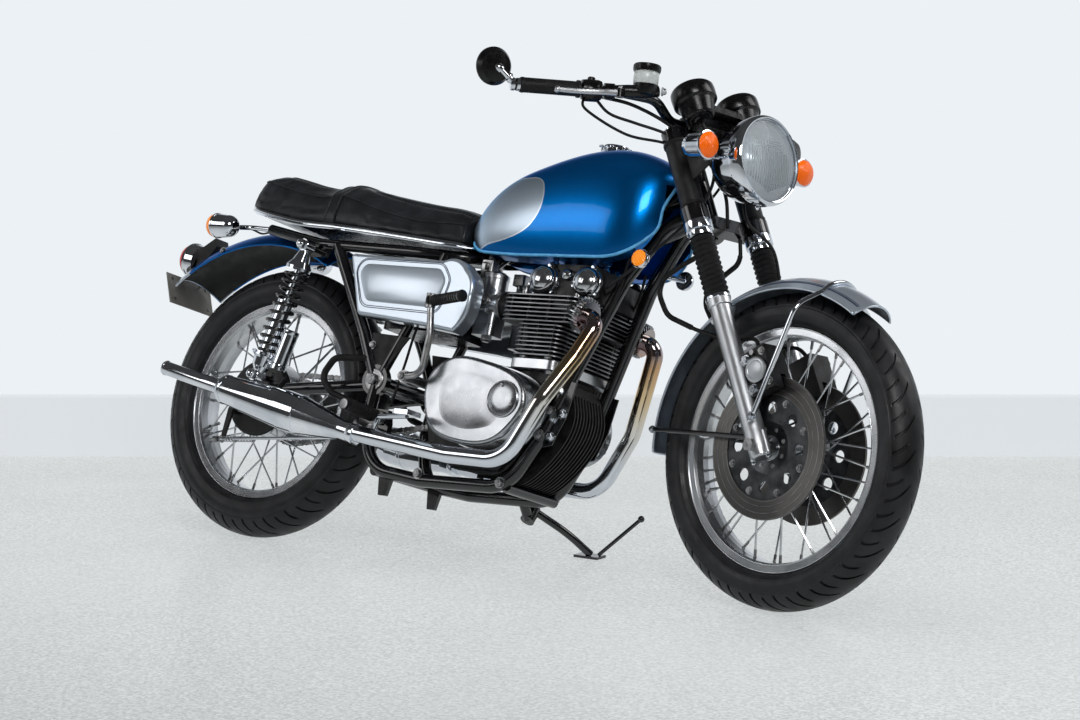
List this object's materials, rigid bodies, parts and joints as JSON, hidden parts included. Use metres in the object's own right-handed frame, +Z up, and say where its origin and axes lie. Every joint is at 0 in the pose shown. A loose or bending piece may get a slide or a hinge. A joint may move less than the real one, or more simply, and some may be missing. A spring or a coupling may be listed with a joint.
{
  "type": "cafe racer motorcycle",
  "caption": "Twin-cylinder cafe racer with a long tank, humped seat, wire wheels, gaitered fork and upswept silencers, leaning on its side stand.",
  "frame": {"origin": "on the floor under the middle of the parked motorcycle's bounding box", "axes": "+X forward along the wheels' line, +Y to the rider's left, +Z up; the motorcycle leans to +Y on its side stand"},
  "size_m": [2.1509, 1.0115, 1.1595],
  "materials": {
    "alloy": "polished aluminium",
    "amber_lens": "amber lens in a bright body",
    "black_cast": "satin black heat-proof paint",
    "black_plastic": "matt black",
    "black_rubber": "black rubber",
    "blue_paint": "metallic blue lacquer",
    "chrome": "chrome plate",
    "clear_glass": "fluted glass",
    "frame_black": "gloss black enamel",
    "gauge_black": "gloss black",
    "plain_steel": "plain steel",
    "plate_grey": "dark grey",
    "red_lens": "red lens in a bright body",
    "seat_cover": "grained black vinyl",
    "silver_paint": "metallic silver lacquer",
    "tyre_black": "tyre rubber"
  },
  "bodies": {
    "frame": {"main_frame": "frame_black", "swingarm": "frame_black", "rear_axle": "plain_steel", "rear_brake_panel": "alloy", "shock_dampers": "chrome", "shock_springs": "frame_black", "drive_chain": "plain_steel", "crankcase": "black_cast", "engine_covers": "alloy", "cylinder_block": "black_cast", "cylinder_head": "black_cast", "rocker_covers": "alloy", "carburettors": "alloy", "fuel_taps": "plain_steel", "exhaust_headers": "chrome", "mufflers": "chrome", "fuel_tank": "blue_paint", "tank_cap": "chrome", "seat": "seat_cover", "seat_base": "chrome", "side_covers": "silver_paint", "rear_fender": "blue_paint", "tail_light": "red_lens", "rear_signals": "amber_lens", "plate_bracket": "plate_grey", "foot_pegs": "black_rubber", "kickstarter": "plain_steel", "brake_pedal": "plain_steel", "gear_lever": "plain_steel", "side_reflectors": "amber_lens", "battery_box": "black_plastic"},
    "steering": {"triple_clamps": "frame_black", "fork_tubes": "chrome", "fork_lowers": "alloy", "fork_gaiters": "black_rubber", "fork_covers": "frame_black", "headlight": "chrome", "headlight_glass": "clear_glass", "handlebar": "frame_black", "grips": "black_rubber", "hand_controls": "black_cast", "mirrors": "chrome", "gauges": "gauge_black", "front_signals": "amber_lens", "front_fender": "silver_paint", "brake_calipers": "black_cast", "brake_hoses": "black_rubber", "front_axle": "plain_steel"},
    "front_wheel": {"front_tyre": "tyre_black", "front_wheel_rim": "alloy", "front_discs": "plain_steel", "disc_carriers": "alloy"},
    "rear_wheel": {"rear_tyre": "tyre_black", "rear_wheel_rim": "alloy", "rear_sprocket": "plain_steel"},
    "side_stand": {"side_stand": "frame_black"}
  },
  "joints": [
    {"name": "steering_turn", "type": "hinge", "parent": "frame", "child": "steering", "pos_m": [0.4347, -0.08323, 0.8083], "axis": [-0.4568, 0.2783, 0.8449], "range_deg": [-22, 48]},
    {"name": "front_wheel_spin", "type": "hinge", "parent": "steering", "child": "front_wheel", "pos_m": [0.7502, -0.25382, 0.32493], "axis": [0.2011, 0.9575, -0.2066], "continuous": true},
    {"name": "rear_wheel_spin", "type": "hinge", "parent": "frame", "child": "rear_wheel", "pos_m": [-0.68369, -0.24311, 0.31829], "axis": [0.001, 0.95, -0.3123], "continuous": true},
    {"name": "side_stand_fold", "type": "hinge", "parent": "frame", "child": "side_stand", "pos_m": [0.033, -0.17079, 0.11162], "axis": [-0.0128, 0.7502, 0.6611], "range_deg": [0, 112]}
  ]
}
